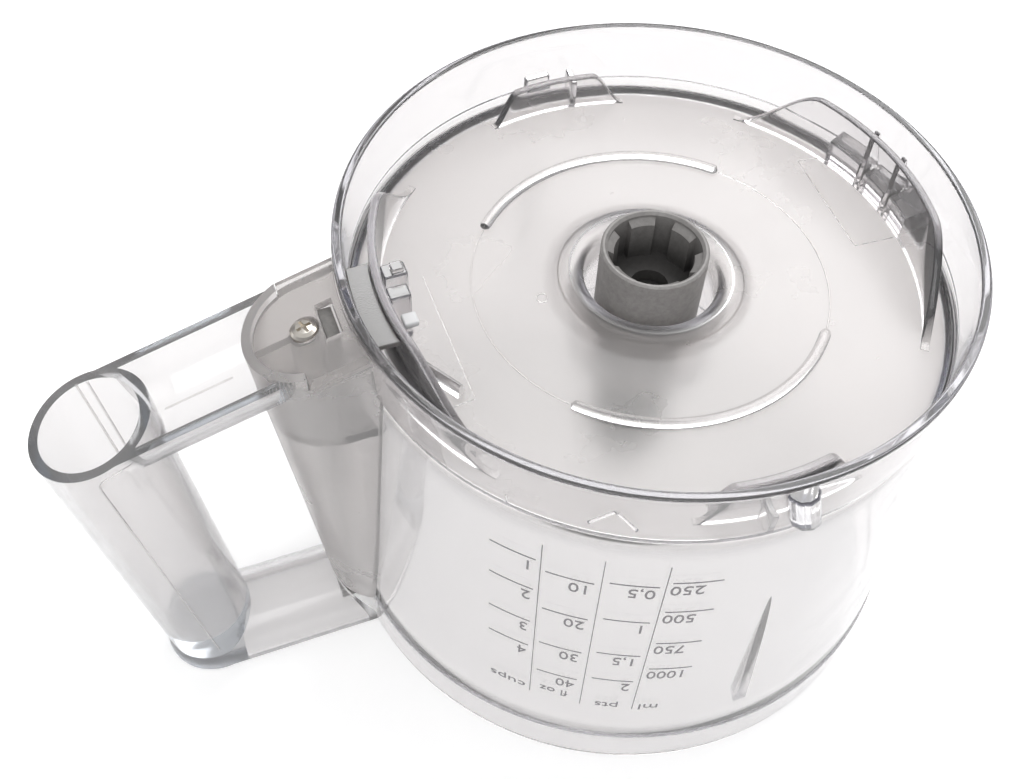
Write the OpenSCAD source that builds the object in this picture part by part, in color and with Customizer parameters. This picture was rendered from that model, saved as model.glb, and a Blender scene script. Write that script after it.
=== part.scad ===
// Work bowl of a food processor, standing upside down on its rim, with its handle, lid
// interlock and drive spindle. +Z points out of the bowl's underside and z = 0 is the rim
// plane. The bowl's axis is Z and the handle points along -X.

/* [Bowl] */
// Outside radius of the rim
rim_r = 85; // [80:0.5:102]
// Height from the rim to the edge of the skirt
bowl_h = 130.4; // [108:0.1:157]
// Depth of the skirt round the underside
skirt_h = 20.4; // [18:0.1:22]
// Wall thickness of the bowl
wall_t = 2.3; // [1.8:0.1:2.8]
// Thickness of the bowl's floor
floor_t = 2.6; // [2.0:0.1:3.4]
// How far the wall leans in from the rim band to the skirt
wall_lean = 7; // [5:0.5:8.4]
// Height of the thick band round the rim
band_h = 15; // [12:0.5:18]

/* [Lugs] */
// Radius of the middle of the lug walls
lug_r = 70.4; // [69:0.1:71]
// Thickness of the lug walls
lug_t = 2.2; // [1.6:0.1:2.6]
// Height of the two short lugs above the floor
short_lug_h = 10.6; // [8:0.1:12.8]
// Gap from the top of the long lugs to the edge of the skirt
long_lug_gap = 1.4; // [1:0.1:2.5]
// Radius of the two raised arcs on the floor
arc_r = 46.2; // [40:0.2:56]

/* [Handle] */
// Outside radius of the grip at its open end
grip_r = 14.9; // [12.5:0.1:17.9]
// Outside radius of the grip at its closed end
grip_end_r = 13.2; // [11:0.1:13.6]
// Outside radius of the two half-round arms
arm_r = 14.4; // [14:0.1:15.4]
// Distance from the rim to the middle of the grip's open end
grip_reach = 57; // [50:0.5:68]
// Wall thickness of the handle
handle_t = 2.4; // [2:0.1:2.8]
// Outside radius of the hollow column between the handle and the bowl
column_r = 15.9; // [15:0.1:17.5]
// Lean of the grip and the column, in degrees
handle_lean = 6; // [5:0.5:7]
// Slope of the handle's open face, in degrees
face_slope = 16.3; // [14:0.1:18]
// Thickness of the handle's base cover
cover_t = 2.2; // [1.8:0.1:2.6]

/* [Interlock] */
// Radius of the push rod's stem
stem_r = 2; // [1.8:0.05:2.2]
// Travel of the push rod
rod_travel = 4.5; // [3.5:0.1:4.7]
// Wire radius of the return spring
wire_r = 0.5; // [0.4:0.05:0.6]

/* [Drive] */
// Outside radius of the drive sleeve
sleeve_r = 13.75; // [13:0.05:14.5]
// Height of the sleeve above the bowl's floor
sleeve_rise = 11.6; // [9:0.1:14]
// Radius of the drive shaft
shaft_r = 4; // [3.4:0.1:4.8]
// Radius of the plain tip that a tool slides on to
tip_r = 6; // [5.5:0.1:7.2]

/* [Hidden] */
$fn = 96;

eps = 0.01;
run = 0.05;                                   // running clearance of the shaft
gap = 0.4;                                    // gap between parts that move apart
play = 0.3;                                   // end play of the shaft, each way

// Heights and radii of the bowl
floor_z = bowl_h - skirt_h;
ledge_z = floor_z + 2.7;                      // foot of the skirt's outer face
ledge_r = rim_r - wall_lean - 0.1;            // wall radius at the ledge
skirt_foot_r = ledge_r + 1.3;
skirt_top_r = ledge_r + 2.2;
skirt_in_r = ledge_r - 0.5;
band_step = 1.8;
wall_foot_r = rim_r - 0.1;
seat_r = rim_r - 2.8;                         // cylindrical seat inside the rim
seat_h = 12;
function wall_r(z) = wall_foot_r
    - (wall_foot_r - ledge_r) * (z - band_h - band_step) / (ledge_z - band_h - band_step);

// The drive stack, counted from the floor
well_r = sleeve_r + 3.5;
well_wall = 2.2;
crest_r = well_r + 3;
dome_r = well_r + 8.5;
dome_h = 3.2;
web_z = floor_z - 26;
web_t = 2.5;
hub_in_r = shaft_r + 3;
hub_out_r = hub_in_r + 3;
hub_top = floor_z - 13;
hub_foot = floor_z - 32;
bush_l = 6;
seal_h = 2.8;
sleeve_top = floor_z + sleeve_rise;
socket_floor = sleeve_top - 13.6;
sleeve_web_z = hub_top + 3;
spigot_r = 5;
spigot_floor = socket_floor - 4;
skirt_of_sleeve = hub_top - 8;
socket_r = sleeve_r - 1.7;
tooth_tip_r = sleeve_r - 3.5;
teeth = 6;
tooth_deg = 35;
tooth_turn = 22;
tooth_drop = 1.2;
pin_r = 1.25;
ring_t = 1;
groove_d = 0.6;
washer_t = 0.8;
spindle_top = hub_foot - play - washer_t;
ring_z = hub_top + play + washer_t;
spindle_len = 36;
spindle_r = 9.4;
spline_r = 11.2;
tip_len = 10;
spindle_foot = spindle_top - spindle_len;
tip_foot = spindle_foot - tip_len;
shaft_foot = spindle_foot + 2;
sleeve_pin_z = (sleeve_web_z + spigot_floor) / 2;
spindle_pin_z = spindle_top - 12;

// The handle, in its own plane: u runs outwards from the axis
lean_per_mm = tan(handle_lean);
slope = tan(face_slope);
face_u0 = skirt_top_r - 0.4;
face_z0 = bowl_h - 0.9;
function face_z(u) = face_z0 - slope * (u - face_u0);
grip_u = rim_r + grip_reach;
grip_top_z = face_z(grip_u);
foot_z = 1;                                   // the handle stands clear of the rim plane
grip_end_u = grip_u - (grip_top_z - foot_z) * lean_per_mm;
grip_len = (grip_top_z - foot_z) / cos(handle_lean);
grip_taper = (grip_r - grip_end_r) / grip_len;
web_over_arm = 2;                             // solid between the arm's hollow and the grip's
dome_r_arm = arm_r + 0.15;
screw_u = skirt_top_r + 9.7;
column_u0 = screw_u - 1.3;                    // column centre at column_z0
column_z0 = bowl_h - 8.4;
column_in_r = column_r - handle_t + 0.1;
column_foot = foot_z + arm_r - 1;
rod_u = rim_r + stem_r + 0.7;
rod_side_gap = 0.5;
// The column leans as the grip does, or less where its foot would meet the push rod
column_lean = min(lean_per_mm, (column_u0 + column_in_r - rod_u - stem_r - rod_side_gap)
    / (column_z0 - column_foot));
function column_u(z) = column_u0 + (z - column_z0) * column_lean;
cover_r = column_in_r - 0.1;
cover_drop = 1.8;                             // cover's face below the handle's open face
boss_r = 3.6;
boss_l = 12;
screw_z = face_z(screw_u) - cover_drop;
screw_core_r = 1.4;
head_r = 3.4;
head_h = 2.2;
head_seat_z = screw_z - (head_r + 0.2) * slope;   // flat spot for the screw's head

// The interlock's push rod
blade_u0 = skirt_top_r + 2.1;
blade_t = 3.2;
blade_w = 10;
crank_z = column_z0 - 22;
crank_t = 4;
guide_t = 3;
guide_z = crank_z - guide_t - 0.3;            // the crank rests on the guide
blade_top = face_z(blade_u0) - cover_drop - cover_t - 0.3;
paddle_z = 3;
paddle_t = 3;
paddle_l = 4.2;
spring_space = 27;
collar_t = 2;
collar_z = guide_z - spring_space - collar_t;
spring_r = stem_r + 1.1;
collar_r = spring_r + 0.9;
spring_turns = 8;

// Angles of the features round the bowl, counted from the handle
long_lugs = [-5, 183];
short_lugs = [-90, 90];
long_lug_half = 42;
short_lug_half = 16.5;
arc_half = 47;

module ring(r_out, r_in, z0, z1) {
    translate([0, 0, z0]) difference() {
        cylinder(r = r_out, h = z1 - z0);
        translate([0, 0, -1]) cylinder(r = r_in, h = z1 - z0 + 2);
    }
}

module from_handle() rotate([0, 0, 180]) children();

// Everything inside the outer face of the bowl, for trimming what stands against it
module bowl_envelope(clear = 0) {
    rotate_extrude() polygon([
        [0, -5], [rim_r + clear, -5], [rim_r + 0.2 + clear, band_h],
        [wall_r(band_h + band_step) + clear, band_h + band_step],
        [ledge_r + clear, ledge_z], [skirt_foot_r + clear, ledge_z],
        [skirt_top_r + clear, bowl_h], [skirt_top_r + clear, bowl_h + 20], [0, bowl_h + 20]]);
}

// A slab between two planes that follow the sloping face of the handle
module face_slab(below_top, below_bottom, u0 = 0, u1 = 250, half = 60) {
    rotate([90, 0, 0]) translate([0, 0, -half]) linear_extrude(2 * half) polygon([
        [u0, face_z(u0) - below_top], [u1, face_z(u1) - below_top],
        [u1, face_z(u1) - below_bottom], [u0, face_z(u0) - below_bottom]]);
}

// Part of a ring on the floor, with a ramp at each end
module lug_wall(mid_deg, half_deg, top_z, ramp_deg) {
    height = top_z - floor_z;
    ramp = ramp_deg * PI / 180 * lug_r;
    full_deg = half_deg + 1;
    difference() {
        rotate([0, 0, mid_deg - full_deg]) rotate_extrude(angle = 2 * full_deg)
            translate([lug_r - lug_t / 2, floor_z - 0.5]) square([lug_t, height + 0.5]);
        for (side = [-1, 1])
            rotate([0, 0, mid_deg + side * half_deg]) translate([lug_r, 0, floor_z])
                rotate([side * -atan2(ramp, height), 0, 0])
                    translate([-8, side > 0 ? 0 : -40, -20]) cube([16, 40, 90]);
    }
}

module radial_rib(deg, r0, r1, t, z0, z1) {
    rotate([0, 0, deg]) translate([r0, -t / 2, z0]) cube([r1 - r0, t, z1 - z0]);
}

// A triangular web from the top of a lug wall down to the corner of the skirt
module gusset(deg, t, top_z) {
    rotate([0, 0, deg]) rotate([90, 0, 0]) translate([0, 0, -t / 2]) linear_extrude(t)
        polygon([[lug_r, floor_z - 0.5], [skirt_in_r + 0.3, floor_z - 0.5],
            [skirt_in_r + 0.3, floor_z + 3], [lug_r, top_z]]);
}

module bowl_shell() {
    rotate_extrude() polygon([
        [seat_r, 0], [rim_r, 0], [rim_r + 0.2, band_h],
        [wall_r(band_h + band_step), band_h + band_step], [ledge_r, ledge_z],
        [skirt_foot_r, ledge_z], [skirt_top_r - 0.1, bowl_h - 0.7],
        [skirt_top_r - 0.7, bowl_h], [skirt_in_r + 0.6, bowl_h], [skirt_in_r, bowl_h - 0.7],
        [skirt_in_r, floor_z],
        [dome_r, floor_z], [dome_r - 1.8, floor_z + 0.25 * dome_h],
        [dome_r - 3.6, floor_z + 0.8 * dome_h], [crest_r, floor_z + dome_h],
        [crest_r - 1.6, floor_z + 0.8 * dome_h], [well_r, floor_z + 0.3 * dome_h],
        [well_r, web_z + web_t], [hub_out_r, web_z + web_t], [hub_out_r, hub_top],
        [hub_in_r, hub_top], [hub_in_r, hub_foot], [hub_out_r - 0.5, hub_foot],
        [hub_out_r, hub_foot + 0.8], [hub_out_r, web_z], [well_r + well_wall - 1.5, web_z],
        [well_r + well_wall, web_z + 1.5], [well_r + well_wall, floor_z - floor_t - 4],
        [well_r + well_wall + 1.2, floor_z - floor_t - 1.2],
        [well_r + well_wall + 4, floor_z - floor_t],
        [wall_r(floor_z) - wall_t - 5, floor_z - floor_t],
        [wall_r(floor_z) - wall_t - 1.5, floor_z - floor_t - 1.5],
        [wall_r(floor_z) - wall_t, floor_z - floor_t - 5],
        [wall_r(band_h + 2) - wall_t, band_h + 2],
        [seat_r, seat_h]]);
}

// Raised arc with a rounded section on the floor
module floor_arc(mid_deg) {
    width = 4.2;
    rise = 2.6;
    for_arc = [[-width / 2, -0.5], [width / 2, -0.5], [width / 2, 0.6], [width / 2 - 1, rise - 0.4],
        [0.6, rise], [-0.6, rise], [-width / 2 + 1, rise - 0.4], [-width / 2, 0.6]];
    rotate([0, 0, mid_deg - arc_half]) rotate_extrude(angle = 2 * arc_half)
        translate([arc_r, floor_z]) polygon(for_arc);
    for (side = [-1, 1])
        rotate([0, 0, mid_deg + side * arc_half]) translate([arc_r, 0, floor_z - 0.5])
            cylinder(r1 = width / 2, r2 = width / 2 - 1, h = rise + 0.1);
}

// Tapered key inside the wall: nothing at its tip and full depth at the rim
module wall_key(deg) {
    foot = band_h + band_step + 9;
    tip = floor_z * 0.71;
    half = 2.6;
    depth = 4.5;
    rotate([0, 0, deg]) intersection() {
        rotate([90, 0, 0]) translate([0, 0, -10]) linear_extrude(20) polygon([
            [wall_r(foot) - wall_t + 0.5, foot], [wall_r(tip) - wall_t + 0.5, tip],
            [wall_r(tip) - wall_t - 0.1, tip], [wall_r(foot) - wall_t - depth, foot]]);
        rotate([90, 0, 90]) linear_extrude(rim_r) polygon([[-half, foot], [half, foot], [0, tip]]);
    }
}

module bowl() {
    color([0.82, 0.82, 0.84, 0.4]) from_handle() {
        union() {
            bowl_shell();
            for (deg = [-90, 90]) {
                floor_arc(deg);
                wall_key(deg);
            }
            outer_key();
            for (deg = [40, 130, 220, 310]) lid_ramp(deg);
        }
    }
}

// The curved walls on the floor that lock the bowl to the motor base, and what stands by them
module base_lugs() {
    long_top = bowl_h - long_lug_gap;
    short_top = floor_z + short_lug_h;
    divider_t = 1.2;
    color([0.84, 0.84, 0.86, 0.4]) from_handle() difference() {
        union() {
            for (deg = long_lugs) lug_wall(deg, long_lug_half, long_top, 11);
            for (deg = short_lugs) {
                lug_wall(deg, short_lug_half, short_top, 6);
                for (side = [-1, 1])
                    radial_rib(deg - 7 + side * divider_t, lug_r, skirt_in_r + 0.3, divider_t,
                        floor_z - 0.5, short_top - 1.5);
            }
            for (deg = [long_lugs[1] - 1, long_lugs[1] + 8]) gusset(deg, 1.6, long_top - 1.5);
            for (deg = [long_lugs[1] - 3, long_lugs[1] + 9])
                rotate([0, 0, deg]) rotate_extrude(angle = 9)
                    translate([skirt_in_r - 4.6, floor_z - 0.5]) square([4.8, 5.5]);
            interlock_shelf();
            floor_catch();
        }
        // Slot through the short lug on the far side
        rotate([0, 0, short_lugs[0] - 1.5])
            translate([lug_r - 4, -3.6, floor_z + short_lug_h * 0.52]) cube([8, 7.2, 1.7]);
        // The lugs stand on the floor and end at the skirt
        ring(rim_r, skirt_in_r, floor_z - 5, bowl_h + 5);
        translate([0, 0, floor_z - 5]) cylinder(r = rim_r, h = 5);
    }
}

// Shelf between the long lug and the skirt, in line with the handle's base cover
module interlock_shelf() {
    half = cover_r + 1.4;
    intersection() {
        ring(skirt_in_r + 0.3, lug_r - 1, floor_z, bowl_h);
        translate([0, -half, 0]) cube([rim_r, 2 * half, bowl_h]);
        face_slab(cover_drop - 0.6, cover_drop + cover_t - 0.6);
    }
    for (side = [-1, 1]) intersection() {
        ring(skirt_in_r + 0.3, lug_r - 1, floor_z - 0.5, bowl_h);
        translate([0, side * half - 0.8, 0]) cube([rim_r, 1.6, bowl_h]);
        face_slab(cover_drop - 0.6, 60);
    }
}

// Stepped catch and bar on the floor beside the shelf
module floor_catch() {
    translate([lug_r - 14.2, -28.6, floor_z - 0.5]) {
        cube([6.6, 4.5, 8]);
        translate([0.6, 4, 0]) cube([5.4, 5, 5]);
        translate([0, 8.6, 0]) cube([6.6, 4, 7]);
    }
    translate([lug_r - 8.4, -11.8, floor_z - 0.5]) rotate([0, 0, 104]) {
        translate([0, -1.5, 0]) cube([1, 3, 1]);
    }
    translate([lug_r - 9.4, -13.2, floor_z - 0.5]) rotate([0, 0, 12]) cube([2, 25, 3.4]);
    translate([lug_r - 14.1, 11, floor_z - 0.5]) cylinder(r = 1.7, h = 5);
}

// Half-round key on the outside of the skirt, with fine ribs across it
module outer_key() {
    rotate([0, 0, 90]) translate([skirt_foot_r - 1.4, 0, ledge_z - 2]) {
        cylinder(r = 4.2, h = bowl_h - ledge_z + 0.6);
        for (i = [0:3]) translate([0, 0, 2.2 + 2.2 * i]) cylinder(r = 4.5, h = 1);
    }
}

// Short ramp inside the rim for turning the lid home
module lid_ramp(deg) {
    rotate([0, 0, deg]) rotate_extrude(angle = 9)
        translate([rim_r - wall_t - 2.2, seat_h + 1.4]) square([2.4, 2.2]);
}

// Tapered solid of the grip, thinner by a wall, from one height on its axis to past its mouth
module grip_solid(less, from = -3) {
    past = 12;
    translate([grip_end_u, 0, foot_z]) rotate([0, handle_lean, 0]) translate([0, 0, from])
        cylinder(r1 = grip_end_r - less + grip_taper * from,
            r2 = grip_r - less + grip_taper * past, h = grip_len + past - from);
}

// Leaning solid of the column: round outside, with straight sides to the bowl
module column_solid(r) {
    translate([column_u(0), 0, 0]) rotate([0, atan(column_lean), 0]) {
        cylinder(r = r, h = bowl_h + 30);
        translate([-2 * column_r, -r, 0]) cube([2 * column_r, 2 * r, bowl_h + 30]);
    }
}

// Round bar along the sloping face at the base, from the middle of the column to the grip
module base_arm_solid(r) {
    translate([column_u0, 0, face_z(column_u0)]) rotate([0, 90 + face_slope, 0])
        cylinder(r = r, h = (grip_u - column_u0) / cos(face_slope));
}

// Round bar along the rim plane, from inside the rim to a distance from the axis
module rim_arm_solid(r, u1) {
    translate([rim_r - 8, 0, foot_z]) rotate([0, 90, 0]) cylinder(r = r, h = u1 - rim_r + 8);
}

module handle_frame() {
    color([0.8, 0.8, 0.83, 0.45]) from_handle() difference() {
        union() {
            base_arm_solid(arm_r);
            rim_arm_solid(arm_r, grip_end_u);
            grip_solid(0);
            translate([grip_end_u, 0, foot_z]) sphere(r = dome_r_arm);
        }
        // Open channel in the arm at the base, up to the grip's wall
        difference() {
            base_arm_solid(arm_r - handle_t);
            grip_solid(-0.3);
        }
        // Open channel in the arm at the rim
        rim_arm_solid(arm_r - handle_t, grip_end_u - grip_end_r / 2);
        grip_solid(handle_t, arm_r + web_over_arm);
        column_solid(column_r);
        face_slab(-60, 0, 0, 300);
        translate([0, -60, -40]) cube([300, 120, 40 + foot_z]);
        bowl_envelope(0);
        // Notch for the rod's stem, through the crown of the arm at the rim
        translate([rod_u, 0, foot_z + 2]) cylinder(r = stem_r + 2 * run, h = arm_r);
        translate([rim_r - 8, -stem_r - 2 * run, foot_z + 2])
            cube([rod_u - rim_r + 8, 2 * stem_r + 4 * run, arm_r]);
    }
}

module handle_column() {
    color([0.78, 0.77, 0.77, 0.6]) from_handle() {
        difference() {
            column_solid(column_r);
            column_solid(column_in_r);
            bowl_envelope(0);
            face_slab(-60, 0, 0, 300);
            base_lips();
            translate([0, -60, -60]) cube([300, 120, 60 + column_foot]);
            rim_arm_solid(arm_r, grip_end_u);
        }
        screw_boss();
    }
}

// Boss that the cover's screw bites into, held by a web to the column's outer side
module screw_boss() {
    difference() {
        union() {
            translate([screw_u, 0, screw_z - cover_t - boss_l]) cylinder(r = boss_r, h = boss_l + 4);
            intersection() {
                translate([screw_u, -1, screw_z - cover_t - boss_l]) cube([column_r, 2, boss_l + 4]);
                column_solid(column_in_r + 0.3);
            }
        }
        translate([screw_u, 0, screw_z - cover_t - boss_l + 2]) cylinder(r = screw_core_r, h = 40);
        face_slab(-60, cover_drop + cover_t, 0, 300);
    }
}

// Side strips that the cover's clips lie on
module side_strips(u_len) {
    strip_w = column_r - cover_r + 2.5;
    for (side = [-1, 1])
        translate([skirt_top_r - 2, side > 0 ? cover_r - 1.5 : 1.5 - cover_r - strip_w, 0])
            cube([u_len, strip_w, bowl_h + 10]);
}

// What the clips take out of the column's edges
module base_lips() {
    intersection() {
        side_strips(15);
        face_slab(-5, cover_drop + cover_t);
    }
}

module base_cover() {
    color([0.72, 0.71, 0.7, 0.7]) from_handle() difference() {
        intersection() {
            union() {
                column_solid(cover_r);
                side_strips(14.6);
            }
            face_slab(cover_drop, cover_drop + cover_t, 0, 200);
        }
        bowl_envelope(0.15);
        translate([screw_u, 0, 0]) cylinder(r = screw_core_r + 0.5, h = bowl_h + 10);
        translate([screw_u, 0, head_seat_z]) cylinder(r = head_r + 0.2, h = 20);
        translate([blade_u0 - gap, -blade_w / 2 - gap, 0])
            cube([blade_t + 2 * gap, blade_w + 2 * gap, bowl_h + 10]);
    }
}

module cover_screw() {
    seat = head_seat_z;
    color("silver") from_handle() translate([screw_u, 0, 0]) difference() {
        union() {
            translate([0, 0, seat]) rotate_extrude() polygon([
                [0, 0], [head_r, 0], [head_r, 0.7], [head_r - 0.5, 1.5], [head_r - 1.4, head_h - 0.2],
                [0, head_h]]);
            translate([0, 0, seat - cover_t - boss_l + 4]) cylinder(r = screw_core_r - 0.02,
                h = cover_t + boss_l - 4 + eps);
            translate([0, 0, seat - cover_t - boss_l + 3])
                cylinder(r1 = 0.3, r2 = screw_core_r - 0.02, h = 1 + eps);
        }
        for (turn = [0, 90]) rotate([0, 0, turn + 20])
            translate([-1.9, -0.4, seat + head_h - 1.3]) cube([3.8, 0.8, 2]);
    }
}

// Push rod: a paddle that the lid's tab lifts, a stem, and a blade that reaches the switch
module interlock_rod() {
    color([0.9, 0.9, 0.92, 0.8]) from_handle() {
        translate([rod_u, 0, paddle_z]) cylinder(r = stem_r, h = crank_z - paddle_z + 1);
        translate([rod_u - stem_r + 0.2, -5, paddle_z]) cube([stem_r + paddle_l, 10, paddle_t]);
        translate([blade_u0, -blade_w / 2, crank_z])
            cube([rod_u + stem_r - blade_u0, blade_w, crank_t]);
        translate([blade_u0, -blade_w / 2, crank_z])
            cube([blade_t, blade_w, blade_top - crank_z]);
    }
}

module spring_collar() {
    color([0.85, 0.85, 0.88]) from_handle() translate([rod_u, 0, 0])
        ring(collar_r, stem_r, collar_z, collar_z + collar_t);
}

// Clip-in shelf that guides the stem and takes the spring's thrust
module rod_guide() {
    color([0.85, 0.85, 0.88, 0.8]) from_handle() difference() {
        intersection() {
            column_solid(column_in_r);
            translate([0, -60, guide_z]) cube([200, 120, guide_t]);
        }
        bowl_envelope(0.3);
        translate([rod_u, 0, 0]) cylinder(r = stem_r + 2 * run, h = bowl_h);
    }
}

// Compression spring: a round wire swept along a helix, its end turns at closer pitch
function spring_z(t, h) = let (e = 0.12) t < e ? t / e * 0.05 * h
    : t > 1 - e ? h - (1 - t) / e * 0.05 * h : (0.05 + 0.9 * (t - e) / (1 - 2 * e)) * h;

module interlock_spring() {
    z0 = collar_z + collar_t + wire_r + 0.1;
    height = guide_z - z0 - wire_r - 0.1;
    sides = 8;
    steps = spring_turns * 16;
    points = [for (i = [0:steps]) let (t = i / steps, a = 360 * spring_turns * t)
        for (j = [0:sides - 1]) let (b = 360 * j / sides)
            [(spring_r + wire_r * cos(b)) * cos(a), (spring_r + wire_r * cos(b)) * sin(a),
                z0 + spring_z(t, height) + wire_r * sin(b)]];
    sides_of_wire = [for (i = [0:steps - 1], j = [0:sides - 1]) let (k = (j + 1) % sides)
        [i * sides + j, (i + 1) * sides + j, (i + 1) * sides + k, i * sides + k]];
    ends = [[for (j = [0:sides - 1]) j], [for (j = [sides - 1:-1:0]) steps * sides + j]];
    color("silver") from_handle() translate([rod_u, 0, 0])
        polyhedron(points, concat(sides_of_wire, ends), convexity = 10);
}

// Driving sleeve: a socket with six teeth above a web on the shaft
module drive_sleeve() {
    color([0.42, 0.41, 0.4]) difference() {
        union() {
            difference() {
                rotate_extrude() polygon([
                    [0, skirt_of_sleeve], [sleeve_r, skirt_of_sleeve], [sleeve_r, sleeve_top - 0.5],
                    [sleeve_r - 0.5, sleeve_top], [0, sleeve_top]]);
                translate([0, 0, socket_floor]) cylinder(r = socket_r, h = 40);
                translate([0, 0, sleeve_top - 0.7])
                    cylinder(r1 = socket_r, r2 = socket_r + 0.7, h = 0.7 + eps);
            }
            for (i = [0:teeth - 1]) rotate([0, 0, tooth_turn + 360 / teeth * i]) socket_tooth();
        }
        translate([0, 0, spigot_floor]) cylinder(r = spigot_r, h = 40);
        translate([0, 0, skirt_of_sleeve - 1])
            cylinder(r = hub_out_r + 0.9, h = sleeve_web_z - skirt_of_sleeve + 1);
        cylinder(r = shaft_r, h = spigot_floor + 1);
        translate([-sleeve_r - 1, 0, sleeve_pin_z]) rotate([0, 90, 0])
            cylinder(r = pin_r, h = 2 * sleeve_r + 2);
    }
}

// One tooth, with a sloping lead-in at the mouth
module socket_tooth() {
    rotate([0, 0, -tooth_deg / 2]) rotate_extrude(angle = tooth_deg) polygon([
        [tooth_tip_r, socket_floor - 0.2], [socket_r + 0.3, socket_floor - 0.2],
        [socket_r + 0.3, sleeve_top - tooth_drop], [tooth_tip_r, sleeve_top - tooth_drop - 1.4]]);
}

module sleeve_pin() {
    color("silver") translate([-sleeve_r + 0.6, 0, sleeve_pin_z]) rotate([0, 90, 0])
        cylinder(r = pin_r, h = 2 * sleeve_r - 1.2);
}

module drive_shaft() {
    color("silver") difference() {
        rotate_extrude() polygon([
            [0, shaft_foot], [shaft_r - 0.5, shaft_foot], [shaft_r, shaft_foot + 0.5],
            [shaft_r, ring_z], [shaft_r - groove_d, ring_z],
            [shaft_r - groove_d, ring_z + ring_t], [shaft_r, ring_z + ring_t],
            [shaft_r, spigot_floor - 0.1], [0, spigot_floor - 0.1]]);
        for (z = [sleeve_pin_z, spindle_pin_z])
            translate([-20, 0, z]) rotate([0, 90, 0]) cylinder(r = pin_r, h = 40);
    }
}

// Open ring in the shaft's groove
module retaining_ring() {
    color("silver") difference() {
        ring(shaft_r + 1.6, shaft_r - groove_d, ring_z, ring_z + ring_t);
        translate([0, -1.2, ring_z - 1]) cube([20, 2.4, 4]);
    }
}

module bush(z0) {
    color([0.72, 0.53, 0.3]) ring(hub_in_r, shaft_r + run, z0, z0 + bush_l);
}

module outer_bush() bush(hub_top - bush_l);

module inner_bush() bush(hub_foot + seal_h + 0.2);

// Lip seal that keeps food out of the hub
module shaft_seal() {
    z0 = hub_foot;
    color([0.15, 0.15, 0.16]) rotate_extrude() polygon([
        [shaft_r + run, z0 + 0.3], [shaft_r + 1, z0], [hub_in_r, z0], [hub_in_r, z0 + seal_h],
        [shaft_r + 1.2, z0 + seal_h], [shaft_r + 1.2, z0 + 1.6], [shaft_r + run, z0 + 1]]);
}

module washer(z0) color([0.9, 0.9, 0.88]) ring(hub_in_r + 1.5, shaft_r, z0, z0 + washer_t);

module outer_washer() washer(hub_top + play);

module inner_washer() washer(spindle_top);

// Splined spindle inside the bowl, with a plain tip for the tools
module tool_spindle() {
    splines = 6;
    color([0.42, 0.41, 0.4]) difference() {
        union() {
            rotate_extrude() polygon([
                [0, tip_foot], [tip_r - 1, tip_foot], [tip_r, tip_foot + 1],
                [tip_r, spindle_foot], [spindle_r - 1, spindle_foot],
                [spindle_r, spindle_foot + 1], [spindle_r, spindle_top - 4],
                [spline_r + 1.3, spindle_top - 3], [spline_r + 1.3, spindle_top],
                [0, spindle_top]]);
            for (i = [0:splines - 1]) rotate([0, 0, 360 / splines * i])
                translate([spindle_r - 0.6, -1.6, spindle_foot + 2])
                    cube([spline_r - spindle_r + 0.6, 3.2, spindle_len - 5]);
        }
        translate([0, 0, shaft_foot]) cylinder(r = shaft_r, h = 100);
        translate([-20, 0, spindle_pin_z]) rotate([0, 90, 0]) cylinder(r = pin_r, h = 40);
    }
}

module spindle_pin() {
    color("silver") translate([-spindle_r + 0.4, 0, spindle_pin_z]) rotate([0, 90, 0])
        cylinder(r = pin_r, h = 2 * spindle_r - 0.8);
}

bowl();
base_lugs();
handle_frame();
handle_column();
base_cover();
cover_screw();
interlock_rod();
interlock_spring();
rod_guide();
spring_collar();
drive_sleeve();
sleeve_pin();
drive_shaft();
retaining_ring();
outer_bush();
inner_bush();
shaft_seal();
outer_washer();
inner_washer();
tool_spindle();
spindle_pin();
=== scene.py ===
"""Work bowl of a food processor, upside down on its rim.

The bowl and the handle are clear, the floor, the column and the cover are frosted, the drive sleeve is grey.
"""

import math

import bpy
import numpy as np
from mathutils import Matrix, Vector


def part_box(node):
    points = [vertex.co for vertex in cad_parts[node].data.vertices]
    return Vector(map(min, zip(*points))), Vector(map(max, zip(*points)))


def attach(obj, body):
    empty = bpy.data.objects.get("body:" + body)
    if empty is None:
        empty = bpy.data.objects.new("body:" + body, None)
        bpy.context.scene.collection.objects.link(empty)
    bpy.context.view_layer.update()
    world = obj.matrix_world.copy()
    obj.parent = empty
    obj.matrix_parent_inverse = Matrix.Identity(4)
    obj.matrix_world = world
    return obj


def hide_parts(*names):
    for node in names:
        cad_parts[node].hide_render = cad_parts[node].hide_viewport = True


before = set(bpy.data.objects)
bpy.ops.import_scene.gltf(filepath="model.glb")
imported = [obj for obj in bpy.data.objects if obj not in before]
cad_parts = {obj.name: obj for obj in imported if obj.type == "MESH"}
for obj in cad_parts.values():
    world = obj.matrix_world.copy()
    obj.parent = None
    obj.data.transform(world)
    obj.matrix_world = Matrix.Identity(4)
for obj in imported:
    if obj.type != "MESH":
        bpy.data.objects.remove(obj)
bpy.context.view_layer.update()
MM = 0.001

# ---------------------------------------------------------------- sizes taken from the frame, in mm

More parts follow.
